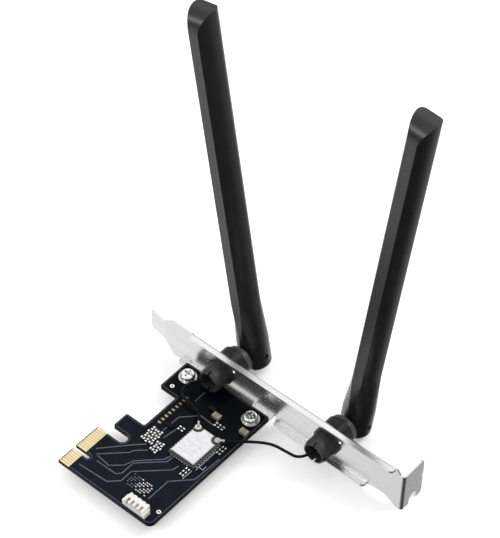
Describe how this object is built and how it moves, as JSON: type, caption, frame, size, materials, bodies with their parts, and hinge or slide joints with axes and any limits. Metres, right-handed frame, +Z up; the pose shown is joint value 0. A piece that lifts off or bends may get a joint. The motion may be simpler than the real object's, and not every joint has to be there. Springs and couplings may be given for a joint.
{
  "type": "pcie wifi card",
  "caption": "PCIe x1 Wi-Fi adapter card: black circuit board with gold edge connector and screened radio module, full-height steel bracket and two swivelling, folding black blade antennas.",
  "frame": {"origin": "where the edge connector's key centreline meets the tip of its tongue, at the middle of the board's thickness", "axes": "+X along the bracket from the connector's tip towards the screw tab, +Y out through the bracket, +Z up from the component side"},
  "size_m": [0.12, 0.0942, 0.1612],
  "materials": {
    "solder_mask": "semi-gloss near-black board",
    "gold_contact": "plated gold",
    "tinned_copper": "satin tin",
    "bracket_steel": "satin nickel-plated steel",
    "screw_steel": "bright nickel",
    "module_laminate": "dark laminate",
    "can_steel": "satin tinplate",
    "label_film": "matte white film",
    "coax_metal": "pale gold plate",
    "header_nylon": "natural white nylon",
    "pin_tin": "bright tin",
    "ceramic": "tan ceramic with tinned ends",
    "chip_black": "black moulding",
    "coax_jacket": "black jacket",
    "bush_plastic": "black, soft sheen",
    "blade_plastic": "fine matte charcoal",
    "antenna_laminate": "green laminate with copper",
    "spring_steel": "plain steel"
  },
  "bodies": {
    "card": {"pcb": "solder_mask", "edge_contacts_component_side": "gold_contact", "edge_contacts_solder_side": "gold_contact", "screw_pads": "tinned_copper", "bracket": "bracket_steel", "bracket_screws": "screw_steel", "module_substrate": "module_laminate", "module_chip": "chip_black", "module_can": "can_steel", "module_label": "label_film", "rf_receptacles": "coax_metal", "header_housing": "header_nylon", "header_pins": "pin_tin", "tan_capacitors": "ceramic", "chip_capacitors": "ceramic", "chip_resistors": "chip_black", "power_chips": "chip_black", "left_rf_plug": "coax_metal", "left_pigtail": "coax_jacket", "left_bush": "bush_plastic", "left_collar": "bush_plastic", "right_rf_plug": "coax_metal", "right_pigtail": "coax_jacket", "right_bush": "bush_plastic", "right_collar": "bush_plastic"},
    "left_swivel": {"left_knuckle": "bush_plastic", "left_snap_ring": "spring_steel"},
    "left_antenna": {"left_blade": "blade_plastic", "left_hinge_pin": "spring_steel", "left_radiator": "antenna_laminate", "left_feed_coax": "coax_jacket"},
    "right_swivel": {"right_knuckle": "bush_plastic", "right_snap_ring": "spring_steel"},
    "right_antenna": {"right_blade": "blade_plastic", "right_hinge_pin": "spring_steel", "right_radiator": "antenna_laminate", "right_feed_coax": "coax_jacket"}
  },
  "joints": [
    {"name": "left_swivel_turn", "type": "hinge", "parent": "card", "child": "left_swivel", "pos_m": [0.0193, 0.0662, 0.00579], "axis": [0, 1, 0], "range_deg": [-80, 14]},
    {"name": "left_fold", "type": "hinge", "parent": "left_swivel", "child": "left_antenna", "pos_m": [0.01991, 0.0762, 0.00224], "axis": [-0.9854, 0, -0.1702], "range_deg": [0, 90]},
    {"name": "right_swivel_turn", "type": "hinge", "parent": "card", "child": "right_swivel", "pos_m": [0.069, 0.0662, 0.00579], "axis": [0, 1, 0], "range_deg": [-9, 85]},
    {"name": "right_fold", "type": "hinge", "parent": "right_swivel", "child": "right_antenna", "pos_m": [0.06869, 0.0762, 0.0022], "axis": [-0.9963, 0, 0.0854], "range_deg": [0, 88]}
  ]
}
